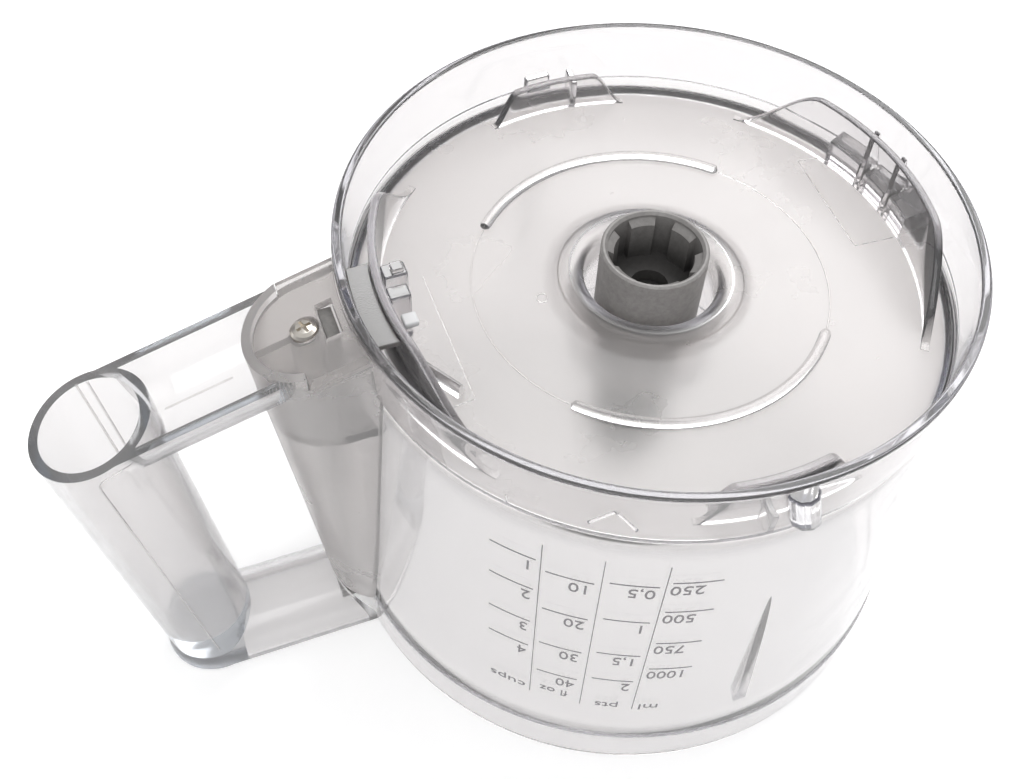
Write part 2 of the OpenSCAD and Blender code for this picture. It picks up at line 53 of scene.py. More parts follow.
bowl_low, bowl_high = (np.array(corner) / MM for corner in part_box("bowl"))
RIM_R = -bowl_low[0] - 0.2           # rim at the table
BOWL_H = bowl_high[2]
FLOOR_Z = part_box("base_lugs")[0].z / MM
SKIRT_LEDGE_Z = FLOOR_Z + 2.7
LEDGE_R = RIM_R - 7.1
SKIRT_IN_R = LEDGE_R - 0.5
SKIRT_OUT_R = LEDGE_R + 2.2
SEAT_R = RIM_R - 2.8
WALL_T = 2.3
FLOOR_T = 2.6
BAND_H = 15.0
SLEEVE_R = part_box("drive_sleeve")[1].x / MM
SLEEVE_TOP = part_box("drive_sleeve")[1].z / MM
WELL_R = SLEEVE_R + 3.5
HUB_TOP = FLOOR_Z - 13.0
HUB_FOOT = FLOOR_Z - 32.0
HUB_OUT_R = 10.0
HUB_IN_R = 7.0
LUG_R = 70.4
ARC_R = 46.2

FACE_SLOPE = math.radians(16.3)      # slope of the handle's open face
FACE_TURN = math.tan(FACE_SLOPE)     # its fall per mm outwards
GRIP_R, GRIP_END_R = 14.9, 13.2
GRIP_OUT = -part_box("handle_frame")[0].x / MM - GRIP_R
GRIP_LEAN = 0.1052
HANDLE_T = 2.4
ARM_IN_R = 12.0


def wall_radius(z):
    """Outside radius of the flared wall at a height: a straight line from the band to the ledge."""
    share = (np.asarray(z, float) - BAND_H - 1.8) / (SKIRT_LEDGE_Z - BAND_H - 1.8)
    return RIM_R - 0.1 - (RIM_R - 0.1 - LEDGE_R) * share


def skirt_radius(z):
    """Outside radius of the skirt, which opens a little towards its top."""
    return LEDGE_R + 1.3 + 0.9 * (np.asarray(z, float) - SKIRT_LEDGE_Z) / (BOWL_H - SKIRT_LEDGE_Z)


def face_z(out):
    """Height of the handle's sloping face at a distance outwards from the bowl's axis."""
    return BOWL_H - 0.9 - FACE_TURN * (out - LEDGE_R - 1.8)


# ---------------------------------------------------------------- meshes from arrays

SHARP_EDGE = math.radians(35.0)

def signed_volume(points, faces):
    """Sum over the faces' fans of a . (b x c) / 6, negative where the shape is inside out."""
    total = 0.0
    for size in sorted({len(f) for f in faces}):
        block = points[np.array([f for f in faces if len(f) == size])]
        for k in range(1, size - 1):
            across = np.cross(block[:, k], block[:, k + 1])
            total += np.einsum("ij,ij->i", block[:, 0], across).sum() / 6
    return total


def in_scene(name, mesh, material):
    """A mesh and its material as an object of the scene."""
    mesh.materials.append(material)
    made = bpy.data.objects.new(name, mesh)
    bpy.context.scene.collection.objects.link(made)
    return made


def piece(name, points, faces, material, slot="clear_plastic", smooth=True):
    """A closed mesh in mm as an object in metres on the housing, turned outside out.

    A smooth one is shaded round but for its sharp edges, the other has flat faces.
    """
    faces = [tuple(int(i) for i in f) for f in faces]
    if signed_volume(points, faces) < 0:
        faces = [f[::-1] for f in faces]
    mesh = bpy.data.meshes.new(name)
    mesh.from_pydata(points * MM, [], faces)
    if smooth:
        mesh.polygons.foreach_set("use_smooth", np.ones(len(mesh.polygons), bool))
        mesh.set_sharp_from_angle(angle=SHARP_EDGE)
    made = in_scene(name, mesh, material)
    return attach(made, "housing")


def grid_faces(rows, columns, wrap_rows, wrap_columns, start=0):
    """Quads between neighbouring points of a grid, round the end where a direction wraps."""
    last_row, last_column = rows - (not wrap_rows), columns - (not wrap_columns)
    i, j = np.meshgrid(np.arange(last_row), np.arange(last_column), indexing="ij")
    i2, j2 = (i + 1) % rows, (j + 1) % columns
    quads = np.stack([i * columns + j, i2 * columns + j, i2 * columns + j2, i * columns + j2], -1)
    return (quads.reshape(-1, 4) + start).tolist()


def caps(rows, columns):
    """The two end faces of a grid whose columns go round a section."""
    return [list(range(columns))[::-1], list(range((rows - 1) * columns, rows * columns))]


def rounded(corners, steps=5):
    """Outline whose corners (x, y, cut) become parabola arcs.

    Each arc starts and ends a cut away from its corner: (1 - s)^2 a + 2 s (1 - s) corner + s^2 b.
    """
    c = np.array(corners, float)
    here, cut = c[:, :2], c[:, 2:3]
    to_last = np.roll(here, 1, 0) - here
    to_next = np.roll(here, -1, 0) - here
    a = here + to_last / np.linalg.norm(to_last, axis=1, keepdims=True) * cut
    b = here + to_next / np.linalg.norm(to_next, axis=1, keepdims=True) * cut
    s = np.linspace(0, 1, steps + 1)[None, :, None]
    arcs = (1 - s) ** 2 * a[:, None] + 2 * s * (1 - s) * here[:, None] + s ** 2 * b[:, None]
    out = arcs.reshape(-1, 2)
    keep = np.linalg.norm(out - np.roll(out, 1, 0), axis=1) > 1e-4
    return out[keep]


def subdivided(outline, longest):
    """The same closed outline with points added, so that no side is longer than a length."""
    nxt = np.roll(outline, -1, 0)
    count = np.maximum(1, np.ceil(np.linalg.norm(nxt - outline, axis=1) / longest).astype(int))
    return np.concatenate([a + (b - a) * np.arange(n)[:, None] / n
                           for a, b, n in zip(outline, nxt, count)])


def turned(outline, sides):
    """A closed outline (radius, height) carried round the Z axis."""
    a = np.linspace(0, 2 * np.pi, sides, endpoint=False)[:, None]
    r, z = outline[:, 0][None], outline[:, 1][None]
    points = np.stack([r * np.cos(a), r * np.sin(a), z + 0 * a], -1)
    return points.reshape(-1, 3), grid_faces(sides, len(outline), True, True)


def swept_wall(angles, inner, outer, foot, top, round_top=0.8):
    """A wall along an arc, as a section at each angle.

    Each section goes from the foot up to that angle's top, with quarter circles at its two top corners.
    """
    a = np.radians(np.asarray(angles, float))[:, None]
    top = np.maximum(np.broadcast_to(top, len(angles)).astype(float), foot + 0.25)[:, None]
    rho = np.minimum(round_top, np.minimum((outer - inner) / 2, (top - foot) * 0.8))
    q = np.linspace(0, np.pi / 2, 6)[None]
    in_by, down_by = rho * (1 - np.cos(q)), rho * (1 - np.sin(q))
    r = np.concatenate([outer + 0 * a, outer - in_by, (inner + in_by)[:, ::-1], inner + 0 * a], 1)
    z = np.concatenate([foot + 0 * a, top - down_by, (top - down_by)[:, ::-1], foot + 0 * a], 1)
    points = np.stack([r * np.cos(a), r * np.sin(a), z], -1)
    rows, columns = r.shape
    return points.reshape(-1, 3), grid_faces(rows, columns, False, True) + caps(rows, columns)


def prism(outline, low, high, bevel=0.0, steps=3):
    """A closed outline (x, y) raised from low to high.

    At both ends a quarter circle bevel draws the outline in along its normals.
    """
    q = np.linspace(0, np.pi / 2, steps + 1)
    inset = np.concatenate([bevel * (1 - np.sin(q)), bevel * (1 - np.cos(q))])
    z = np.concatenate([low + bevel * (1 - np.cos(q)), high - bevel * (1 - np.sin(q))])
    side = np.roll(outline, -1, 0) - np.roll(outline, 1, 0)
    normal = np.stack([side[:, 1], -side[:, 0]], 1)
    normal /= np.linalg.norm(normal, axis=1, keepdims=True)
    x, y = outline.T
    area = (x * np.roll(y, -1) - y * np.roll(x, -1)).sum()
    normal *= math.copysign(1, area)
    flat = outline[None] - normal[None] * inset[:, None, None]
    points = np.concatenate([flat, np.broadcast_to(z[:, None, None], flat.shape[:2] + (1,))], -1)
    rows, columns = flat.shape[:2]
    return points.reshape(-1, 3), grid_faces(rows, columns, False, True) + caps(rows, columns)


def turn_z(points, degrees):
    """Points turned about the Z axis."""
    c, s = math.cos(math.radians(degrees)), math.sin(math.radians(degrees))
    return points @ np.array([[c, s, 0], [-s, c, 0], [0, 0, 1]])


def joined(*parts):
    """Several closed shapes as one, each turned outside out."""
    points, faces, start = [], [], 0
    for p, f in parts:
        if signed_volume(p, f) < 0:
            f = [face[::-1] for face in f]
        points.append(p)
        faces += [[i + start for i in face] for face in f]
        start += len(p)
    return np.concatenate(points), faces


def ridge(path, outward, width, height, closed=False, lift=0.02):
    """A half-round line along a path.

    Each section is the path + across cos(q) width / 2 + outward (lift + height sin(q)), q over half a turn.
    """
    path = np.asarray(path, float)
    outward = np.broadcast_to(np.asarray(outward, float), path.shape)
    along = np.roll(path, -1, 0) - np.roll(path, 1, 0) if closed else np.gradient(path, axis=0)
    across = np.cross(along, outward)
    across /= np.linalg.norm(across, axis=1, keepdims=True)
    q = np.linspace(0, np.pi, 8)[None, :, None]
    points = path[:, None] + across[:, None] * np.cos(q) * width / 2
    points = points + outward[:, None] * (lift + height * np.sin(q))
    rows, columns = points.shape[:2]
    faces = grid_faces(rows, columns, closed, True)
    return points.reshape(-1, 3), faces if closed else faces + caps(rows, columns)


def round_path(radius, start, stop, z, middle=(0, 0)):
    """Points along an arc in a level plane."""
    a = np.radians(np.linspace(start, stop, max(8, int(abs(stop - start) * 0.8))))
    return np.stack([middle[0] + radius * np.cos(a), middle[1] + radius * np.sin(a), z + 0 * a], 1)


def radial(degrees):
    """Outward level directions at angles about the Z axis."""
    a = np.radians(degrees)
    return np.stack([np.cos(a), np.sin(a), 0 * a], -1)


def smooth_step(t):
    """An S curve from 0 to 1: 3 t^2 - 2 t^3."""
    t = np.clip(t, 0, 1)
    return t * t * (3 - 2 * t)


# ---------------------------------------------------------------- materials

IOR = 1.5


def new_material(name):
    """A node material with its output and one Principled shader."""
    material = bpy.data.materials.new(name)
    material.use_nodes = True
    nodes, links = material.node_tree.nodes, material.node_tree.links
    shader = nodes["Principled BSDF"]
    return material, nodes, links, shader


def noise(nodes, links, scale, detail=3.0, roughness=0.55, stretch=(1, 1, 1)):
    """A noise texture on the object's own coordinates."""
    where = nodes.new("ShaderNodeTexCoord")
    mapping = nodes.new("ShaderNodeMapping")
    mapping.inputs["Scale"].default_value = stretch
    texture = nodes.new("ShaderNodeTexNoise")
    texture.inputs["Scale"].default_value = scale
    texture.inputs["Detail"].default_value = detail
    texture.inputs["Roughness"].default_value = roughness
    links.new(where.outputs["Object"], mapping.inputs["Vector"])
    links.new(mapping.outputs["Vector"], texture.inputs["Vector"])
    return texture


def mapped(nodes, links, source, low, high, from_low=0.3, from_high=0.7):
    """A value spread from one range to another."""
    spread = nodes.new("ShaderNodeMapRange")
    spread.inputs["From Min"].default_value = from_low
    spread.inputs["From Max"].default_value = from_high
    spread.inputs["To Min"].default_value = low
    spread.inputs["To Max"].default_value = high
    links.new(source, spread.inputs["Value"])
    return spread.outputs["Result"]


def arithmetic(nodes, links, operation, *values):
    """One step of arithmetic on sockets and plain numbers."""
    step = nodes.new("ShaderNodeMath")
    step.operation = operation
    for socket, value in zip(step.inputs, values):
        if isinstance(value, float):
            socket.default_value = value
        else:
            links.new(value, socket)
    return step.outputs["Value"]


def blend(nodes, links, source, first, last, start=0.0, stop=1.0):
    """A colour that goes from one to another while a value goes from start to stop."""
    ramp = nodes.new("ShaderNodeValToRGB")
    elements = ramp.color_ramp.elements
    elements[0].position, elements[0].color = start, first
    elements[1].position, elements[1].color = stop, last
    links.new(source, ramp.inputs["Fac"])
    return ramp.outputs["Color"]


def bump(nodes, links, shader, height, strength, distance):
    """Fine relief on the shader's normal."""
    relief = nodes.new("ShaderNodeBump")
    relief.inputs["Strength"].default_value = strength
    relief.inputs["Distance"].default_value = distance
    links.new(height, relief.inputs["Height"])
    links.new(relief.outputs["Normal"], shader.inputs["Normal"])


def absorb(nodes, links, colour, density):
    """Colour that builds up with the thickness of the plastic."""
    volume = nodes.new("ShaderNodeVolumeAbsorption")
    volume.inputs["Color"].default_value = colour
    volume.inputs["Density"].default_value = density
    links.new(volume.outputs["Volume"], nodes["Material Output"].inputs["Volume"])


CLEAR_TINT, CLEAR_DENSITY = (0.77, 0.775, 0.82, 1), 62.0
FROSTED_TINT, FROSTED_DENSITY = (0.82, 0.79, 0.79, 1), 30.0
CLEAR_BASE = (0.975, 0.962, 0.957, 1)


def clear_plastic(name, gloss=0.02, dull=0.06, body=0.05, base=CLEAR_BASE, tint=CLEAR_TINT):
    """Clear moulded plastic: glossy, with handling haze and the faint waves that moulding leaves."""
    material, nodes, links, shader = new_material(name)
    shader.inputs["Base Color"].default_value = base
    shader.inputs["Transmission Weight"].default_value = 1.0 - body
    shader.inputs["IOR"].default_value = IOR
    haze = noise(nodes, links, 38, 4)
    links.new(mapped(nodes, links, haze.outputs["Fac"], gloss, dull), shader.inputs["Roughness"])
    waves = noise(nodes, links, 60, 1)
    bump(nodes, links, shader, waves.outputs["Fac"], 0.15, 0.0004)
    absorb(nodes, links, tint, CLEAR_DENSITY)
    return material


def frosted_plastic(name, low=0.26, high=0.36, base=(0.88, 0.85, 0.835, 1), body=0.22):
    """The same plastic with a fine satin texture from the mould."""
    material, nodes, links, shader = new_material(name)
    shader.inputs["Base Color"].default_value = base
    shader.inputs["Transmission Weight"].default_value = 1.0 - body
    shader.inputs["IOR"].default_value = IOR
    cloud = noise(nodes, links, 45, 4)
    links.new(mapped(nodes, links, cloud.outputs["Fac"], low, high), shader.inputs["Roughness"])
    grain = noise(nodes, links, 2600, 2)
    bump(nodes, links, shader, grain.outputs["Fac"], 0.12, 0.00008)
    absorb(nodes, links, FROSTED_TINT, FROSTED_DENSITY)
    return material


def radius_and_height(nodes, links):
    """Distance from the bowl's axis and height, from the object's own coordinates."""
    where = nodes.new("ShaderNodeTexCoord")
    split = nodes.new("ShaderNodeSeparateXYZ")
    flat = nodes.new("ShaderNodeCombineXYZ")
    away = nodes.new("ShaderNodeVectorMath")
    away.operation = "LENGTH"
    links.new(where.outputs["Object"], split.inputs["Vector"])
    links.new(split.outputs["X"], flat.inputs["X"])
    links.new(split.outputs["Y"], flat.inputs["Y"])
    links.new(flat.outputs["Vector"], away.inputs[0])
    return away.outputs["Value"], split.outputs["Z"]


def bowl_plastic():
    """Clear plastic whose floor is satin: its roughness rises inside the skirt, from under the floor up. Its
    base colour greys there too, as painted shade.
    """
    material, nodes, links, shader = new_material("bowl_clear_with_satin_floor")
    shader.inputs["Transmission Weight"].default_value = 0.94
    shader.inputs["IOR"].default_value = IOR
    away, height = radius_and_height(nodes, links)
    inside = mapped(nodes, links, away, 1, 0, (SKIRT_IN_R - 1.4) * MM, (SKIRT_IN_R - 0.9) * MM)
    above = mapped(nodes, links, height, 0, 1, (FLOOR_Z - 9) * MM, (FLOOR_Z - 4) * MM)
    satin = arithmetic(nodes, links, "MULTIPLY", inside, above)
    half_above = arithmetic(nodes, links, "MULTIPLY", above, 0.5)
    share = arithmetic(nodes, links, "MULTIPLY_ADD", satin, 0.5, half_above)     # wall 0, skirt 0.5, floor 1
    # painted shade: the skirt and floor get a greyer base colour than the wall of the same plastic
    tone = nodes.new("ShaderNodeValToRGB")
    tone.color_ramp.elements[0].color = (0.965, 0.948, 0.94, 1)
    tone.color_ramp.elements[1].color = (0.825, 0.80, 0.782, 1)
    tone.color_ramp.elements.new(0.5).color = (0.865, 0.848, 0.845, 1)
    links.new(share, tone.inputs["Fac"])
    links.new(tone.outputs["Color"], shader.inputs["Base Color"])
    haze = noise(nodes, links, 38, 4)
    hazy = mapped(nodes, links, haze.outputs["Fac"], 0.015, 0.05)
    links.new(arithmetic(nodes, links, "MULTIPLY_ADD", satin, 0.25, hazy), shader.inputs["Roughness"])
    waves = noise(nodes, links, 55, 1)
    bump(nodes, links, shader, waves.outputs["Fac"], 0.15, 0.0004)
    absorb(nodes, links, CLEAR_TINT, CLEAR_DENSITY)
    return material


def moulded_grey(name, dark, light, socket=False):
    """Filled nylon: warm grey with a fine mottle, satin, a little rubbed. In a socket, painted shade darkens
    the walls inwards.
    """
    material, nodes, links, shader = new_material(name)
    mottle = noise(nodes, links, 700, 5, 0.7)
    colour = blend(nodes, links, mottle.outputs["Fac"], dark, light, 0.3, 0.72)
    if socket:
        # painted shade: the colour is scaled down the deeper it lies in the socket
        away, height = radius_and_height(nodes, links)
        depth_shade = mapped(nodes, links, height, 0.22, 0.85, (SLEEVE_TOP - 12) * MM, (SLEEVE_TOP - 1) * MM)
        outside = mapped(nodes, links, away, 0, 1, (SLEEVE_R - 1.5) * MM, (SLEEVE_R - 1.1) * MM)
        shaded = nodes.new("ShaderNodeVectorMath")
        shaded.operation = "SCALE"
        links.new(colour, shaded.inputs[0])
        links.new(arithmetic(nodes, links, "MAXIMUM", depth_shade, outside), shaded.inputs["Scale"])
        colour = shaded.outputs["Vector"]
    links.new(colour, shader.inputs["Base Color"])
    rubbed = noise(nodes, links, 90, 4)
    links.new(mapped(nodes, links, rubbed.outputs["Fac"], 0.34, 0.52), shader.inputs["Roughness"])
    bump(nodes, links, shader, mottle.outputs["Fac"], 0.25, 0.00006)
    return material


def moulded_white(name, colour):
    """Natural acetal: milky, satin, a little light passing through it."""
    material, nodes, links, shader = new_material(name)
    shader.inputs["Base Color"].default_value = colour
    shader.inputs["Subsurface Weight"].default_value = 0.25
    shader.inputs["Subsurface Radius"].default_value = (0.004, 0.004, 0.004)
    shader.inputs["Subsurface Scale"].default_value = 1.0
    haze = noise(nodes, links, 120, 4)
    links.new(mapped(nodes, links, haze.outputs["Fac"], 0.3, 0.45), shader.inputs["Roughness"])
    grain = noise(nodes, links, 1500, 2)
    bump(nodes, links, shader, grain.outputs["Fac"], 0.15, 0.00005)
    return material


def metal(name, colour, rough_low, rough_high, stretch=(1, 1, 30)):
    """Turned or drawn metal with fine tool lines and small stains."""
    material, nodes, links, shader = new_material(name)
    stain = noise(nodes, links, 180, 5, 0.6)
    stained = [c * 0.8 for c in colour[:3]] + [1]
    tone = blend(nodes, links, stain.outputs["Fac"], stained, colour, 0.25, 0.75)
    links.new(tone, shader.inputs["Base Color"])
    shader.inputs["Metallic"].default_value = 1.0
    lines = noise(nodes, links, 260, 3, 0.6, stretch)
    links.new(mapped(nodes, links, lines.outputs["Fac"], rough_low, rough_high), shader.inputs["Roughness"])
    bump(nodes, links, shader, lines.outputs["Fac"], 0.12, 0.00004)
    return material


def rubber(name):
    """Black silicone with a dusty bloom."""
    material, nodes, links, shader = new_material(name)
    bloom = noise(nodes, links, 220, 4)
    tone = blend(nodes, links, bloom.outputs["Fac"], (0.012, 0.012, 0.013, 1), (0.035, 0.035, 0.037, 1))
    links.new(tone, shader.inputs["Base Color"])
    links.new(mapped(nodes, links, bloom.outputs["Fac"], 0.55, 0.75), shader.inputs["Roughness"])
    bump(nodes, links, shader, bloom.outputs["Fac"], 0.2, 0.00005)
    return material


def ink(name):
    """Grey marking on the bowl, slightly uneven."""
    material, nodes, links, shader = new_material(name)
    patch = noise(nodes, links, 900, 3)
    tone = blend(nodes, links, patch.outputs["Fac"], (0.13, 0.125, 0.13, 1), (0.27, 0.26, 0.27, 1))
    links.new(tone, shader.inputs["Base Color"])
    links.new(mapped(nodes, links, patch.outputs["Fac"], 0.4, 0.6), shader.inputs["Roughness"])
    return material


BOWL = bowl_plastic()
CLEAR = clear_plastic("clear_plastic")
HANDLE = clear_plastic("handle_plastic", gloss=0.09, dull=0.16, body=0.11, base=(0.915, 0.895, 0.89, 1),
                       tint=(0.74, 0.775, 0.81, 1))
FROSTED = frosted_plastic("frosted_plastic", base=(0.93, 0.905, 0.895, 1))
COVER = frosted_plastic("cover_plastic", 0.2, 0.3, (0.84, 0.812, 0.80, 1))
# the shelf is the frosted plastic made near black: painted shade in the recess inside the skirt
SHADED_SHELF = frosted_plastic("shelf_plastic_painted_shade", 0.3, 0.42, (0.27, 0.258, 0.252, 1), 0.5)
SPINDLE = moulded_grey("spindle_nylon", (0.07, 0.068, 0.066, 1), (0.12, 0.116, 0.112, 1))
ROD = moulded_grey("rod_plastic", (0.16, 0.155, 0.15, 1), (0.24, 0.23, 0.22, 1))
SLEEVE = moulded_grey("grey_nylon_with_painted_socket_shade", (0.26, 0.25, 0.242, 1), (0.37, 0.355, 0.345, 1), True)
WHITE = moulded_white("natural_acetal", (0.80, 0.80, 0.81, 1))
STEEL = metal("turned_steel", (0.62, 0.60, 0.57, 1), 0.22, 0.38)
PLATED = metal("nickel_plate", (0.74, 0.70, 0.64, 1), 0.12, 0.24, (1, 1, 1))
SPRING = metal("spring_wire", (0.5, 0.5, 0.5, 1), 0.25, 0.4)
BRONZE = metal("sintered_bronze", (0.55, 0.37, 0.19, 1), 0.35, 0.55)
SEAL = rubber("silicone")
INK = ink("scale_ink")

FINISH = {"handle_frame": HANDLE, "handle_column": FROSTED, "base_cover": COVER, "cover_screw": PLATED,
          "interlock_rod": ROD, "interlock_spring": SPRING, "rod_guide": ROD, "spring_collar": ROD,
          "drive_sleeve": SLEEVE, "sleeve_pin": STEEL, "drive_shaft": STEEL, "retaining_ring": SPRING,
          "outer_bush": BRONZE, "inner_bush": BRONZE, "shaft_seal": SEAL, "outer_washer": WHITE,
          "inner_washer": WHITE, "tool_spindle": SPINDLE, "spindle_pin": STEEL}
for node_name, finish in FINISH.items():
    node_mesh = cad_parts[node_name].data
    node_mesh.materials.clear()
    node_mesh.materials.append(finish)

# ---------------------------------------------------------------- the bowl

SIDES = 320                          # round the bowl
LONGEST_SIDE = 5.0                   # along its section


def bowl_outline():
    """Section of the bowl as corners (radius, height, cut), all round the plastic."""
    wall_in = lambda z: float(wall_radius(z)) - WALL_T
    web_z, web_t = FLOOR_Z - 26, 2.5                # the disc that joins the hub to the well round the sleeve
    well_out_r = WELL_R + 2.2
    outside = [(SEAT_R, 0, 0.7), (RIM_R, 0, 0.9), (RIM_R + 0.2, BAND_H - 0.1, 0.35),
               (RIM_R - 0.3, BAND_H + 0.5, 0.3), (RIM_R - 0.45, BAND_H + 7.5, 5)]
    skirt = [(LEDGE_R, SKIRT_LEDGE_Z, 0.5), (LEDGE_R + 1.3, SKIRT_LEDGE_Z, 0.45), (SKIRT_OUT_R, BOWL_H, 0.9),
             (SKIRT_IN_R + 0.1, BOWL_H, 0.7), (SKIRT_IN_R, FLOOR_Z, 0.9)]
    dome = [(WELL_R + 8.5, FLOOR_Z, 2.6), (WELL_R + 5.4, FLOOR_Z + 2.7, 1.9),
            (WELL_R + 2.6, FLOOR_Z + 3.3, 1.4), (WELL_R, FLOOR_Z + 1.9, 1.3), (WELL_R, web_z + web_t, 1.5)]
    hub = [(HUB_OUT_R, web_z + web_t, 0.8), (HUB_OUT_R, HUB_TOP, 0.6), (HUB_IN_R, HUB_TOP, 0.3),
           (HUB_IN_R, HUB_FOOT, 0.2), (HUB_OUT_R, HUB_FOOT, 1.0), (HUB_OUT_R, web_z, 0.9)]
    under_floor = [(well_out_r, web_z, 1.8), (well_out_r, FLOOR_Z + 0.2, 1.2),
                   (WELL_R + 5.0, FLOOR_Z + 0.1, 1.6), (WELL_R + 8.0, FLOOR_Z - FLOOR_T, 2.4)]
    wall_inside = [(wall_in(FLOOR_Z), FLOOR_Z - FLOOR_T, 1.2), (wall_in(BAND_H + 4), BAND_H + 4, 3.0),
                   (SEAT_R, BAND_H - 3, 1.0)]
    return subdivided(rounded(outside + skirt + dome + hub + under_floor + wall_inside), LONGEST_SIDE)


bowl = piece("bowl_body", *turned(bowl_outline(), SIDES), BOWL)
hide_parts("bowl")


# ---------------------------------------------------------------- what stands on the floor, inside the skirt

UP = (0, 0, 1)
LIFT = 0.03                          # hairline between pieces of the same moulding
FOOT = FLOOR_Z + LIFT
LUG_T = 2.2
SHORT_LUG_TOP = FLOOR_Z + 10


def lug(name, start, stop, top, ramp_start, ramp_stop):
    """A curved wall on the floor whose top rises and falls along S curves at its ends, in degrees."""
    angles = np.linspace(start, stop, int(abs(stop - start) * 2.5))
    rise = smooth_step((angles - start) / ramp_start) * smooth_step((stop - angles) / ramp_stop)
    shape = swept_wall(angles, LUG_R - LUG_T / 2, LUG_R + LUG_T / 2, FOOT, FOOT + (top - FOOT) * rise, 0.7)
    return piece(name, *shape, CLEAR)


far_lug = lug("far_lug", -39, 45, BOWL_H - 2.4, 24, 20)
lug("handle_lug", 132.5, 217, BOWL_H - 1.4, 22, 26)
lug("left_lug", 72, 105, SHORT_LUG_TOP, 8, 6.5)
lug("right_lug", -107, -73, SHORT_LUG_TOP, 7, 8)
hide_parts("base_lugs")


ARC_HALF_ANGLE, ARC_HALF_W, ARC_RISE = 48.5, 1.45, 1.7


def floor_arc(name, middle):
    """A rounded bar along an arc of the floor.

    Its width closes along a half circle at both ends, and its height along the square root of that.
    """
    t = np.linspace(-1, 1, 121)
    half_mm = np.radians(ARC_HALF_ANGLE) * ARC_R
    past_end = np.clip((np.abs(t) * half_mm - (half_mm - ARC_HALF_W)) / ARC_HALF_W, 0, 1)
    end = np.sqrt(np.clip(1 - past_end ** 2, 0.02, 1))
    a = np.radians(middle + ARC_HALF_ANGLE * t)[:, None]
    q = np.linspace(0, np.pi, 13)[None]
    r = ARC_R + ARC_HALF_W * end[:, None] * np.cos(q)
    z = FOOT + ARC_RISE * end[:, None] ** 0.5 * np.sin(q) ** 0.75
    points = np.stack([r * np.cos(a), r * np.sin(a), z], -1)
    rows, columns = r.shape
    faces = grid_faces(rows, columns, False, True) + caps(rows, columns)
    return piece(name, points.reshape(-1, 3), faces, CLEAR)


floor_arc("floor_arc_left", 90)
floor_arc("floor_arc_right", -90)


def box_outline(x0, x1, y0, y1, cut=0.5):
    """A rectangle with rounded corners."""
    return rounded([(x0, y0, cut), (x1, y0, cut), (x1, y1, cut), (x0, y1, cut)], 3)


def block(x0, x1, y0, y1, z0, z1, bevel=0.35, cut=0.5):
    """A rounded block as points and faces."""
    return prism(box_outline(x0, x1, y0, y1, cut), z0, z1, bevel)


def gusset(degrees, foot_r, top_r, top_z, thickness):
    """A triangular web standing on the floor, from a lug's top edge out to the skirt's foot."""
    outer_r = SKIRT_IN_R - 0.3
    outline = rounded([(foot_r, FOOT, 0.2), (outer_r, FOOT, 0.3), (outer_r, FLOOR_Z + 3, 0.6),
                       (top_r, top_z, 0.4), (foot_r, top_z, 0.3)], 3)
    points, faces = prism(outline, -thickness / 2, thickness / 2, 0.3)
    return turn_z(points[:, [0, 2, 1]] * [1, -1, 1], degrees), faces


LUG_BACK_R = LUG_R + 1.15            # just clear of the lugs' outer side
GUSSET = (LUG_BACK_R, LUG_BACK_R + 0.8, BOWL_H - 2.2, 1.6)


def arc_block(start, stop, height):
    """A rounded block that follows the skirt, between it and the lug."""
    angles = np.linspace(start, stop, 12)
    return swept_wall(angles, LUG_BACK_R + 0.2, SKIRT_IN_R - 0.4, FOOT, FOOT + height, 0.6)


piece("far_lug_webs", *joined(gusset(11, *GUSSET), gusset(2, *GUSSET), arc_block(12, 21, 6.5),
                              arc_block(3, 10, 5.0), arc_block(-6, 1, 6.0)), CLEAR)


def turned_block(degrees, *sizes):
    """A rounded block given on the X axis and turned about the Z axis."""
    points, faces = block(*sizes)
    return turn_z(points, degrees), faces


SHORT_WEB = (LUG_BACK_R, SKIRT_IN_R - 0.2, -0.8, 0.8, FOOT, FLOOR_Z + 7.6, 0.25, 0.3)
STOP = (LUG_BACK_R, LUG_BACK_R + 2.2, -3.6, 3.6, FLOOR_Z + 7, FLOOR_Z + 11, 0.4)
piece("short_lug_webs", *joined(turned_block(84, *SHORT_WEB), turned_block(92.8, *STOP),
                                turned_block(-95, *SHORT_WEB)), CLEAR)

# catch that snaps the cover's inner end to the floor: two stepped cells, a tip and a bar, with a white pad
# that is a painted highlight standing in for a bright patch
HOOK_Z = BOWL_H - 3.0
HIGHLIGHT_PAD_Z = FLOOR_Z + 10.6
piece("cover_catch", *joined(block(-68.4, -62.4, 6.6, 11.2, FOOT, HOOK_Z, 0.45, 0.7),
                             block(-68.6, -63.2, 1.6, 5.9, FOOT, HOOK_Z - 2.2, 0.45, 0.7),
                             block(-66.2, -63.2, 7.4, 10.4, HOOK_Z + 0.05, HOOK_Z + 1.2, 0.3, 0.4)), CLEAR)
piece("cover_catch_painted_highlight", *block(-67.0, -63.3, -4.4, -0.6, HIGHLIGHT_PAD_Z, HIGHLIGHT_PAD_Z + 1.6, 0.4, 0.6), WHITE,
      "natural_plastic")
bar_path = np.linspace((-67.5, -4.5, FLOOR_Z), (-58.2, -19.5, FLOOR_Z), 12)
piece("cover_catch_bar", *ridge(bar_path, UP, 2.6, 4.2), CLEAR)


def inner_shelf():
    """Frosted ledge that carries the cover on inside the skirt, between two arcs about the bowl's axis,
    darkened as painted shade.
    """
    outer_arc = round_path(SKIRT_IN_R - 0.15, 170.4, 189.6, 0)[:, :2]
    inner_arc = round_path(LUG_R + 1.3, 190.4, 169.6, 0)[:, :2]
    return prism(np.concatenate([outer_arc, inner_arc]), BOWL_H - 4.4, BOWL_H - 3.0, 0.3)


piece("cover_inner_shelf", *inner_shelf(), SHADED_SHELF, "frosted_plastic")

# faint lines of the mould on the floor: parts of a circle, two insert outlines and a small ring


def floor_line(a, b):
    """A straight hairline on the floor."""
    return ridge(np.linspace((*a, FLOOR_Z), (*b, FLOOR_Z), 6), UP, 0.4, 0.16)


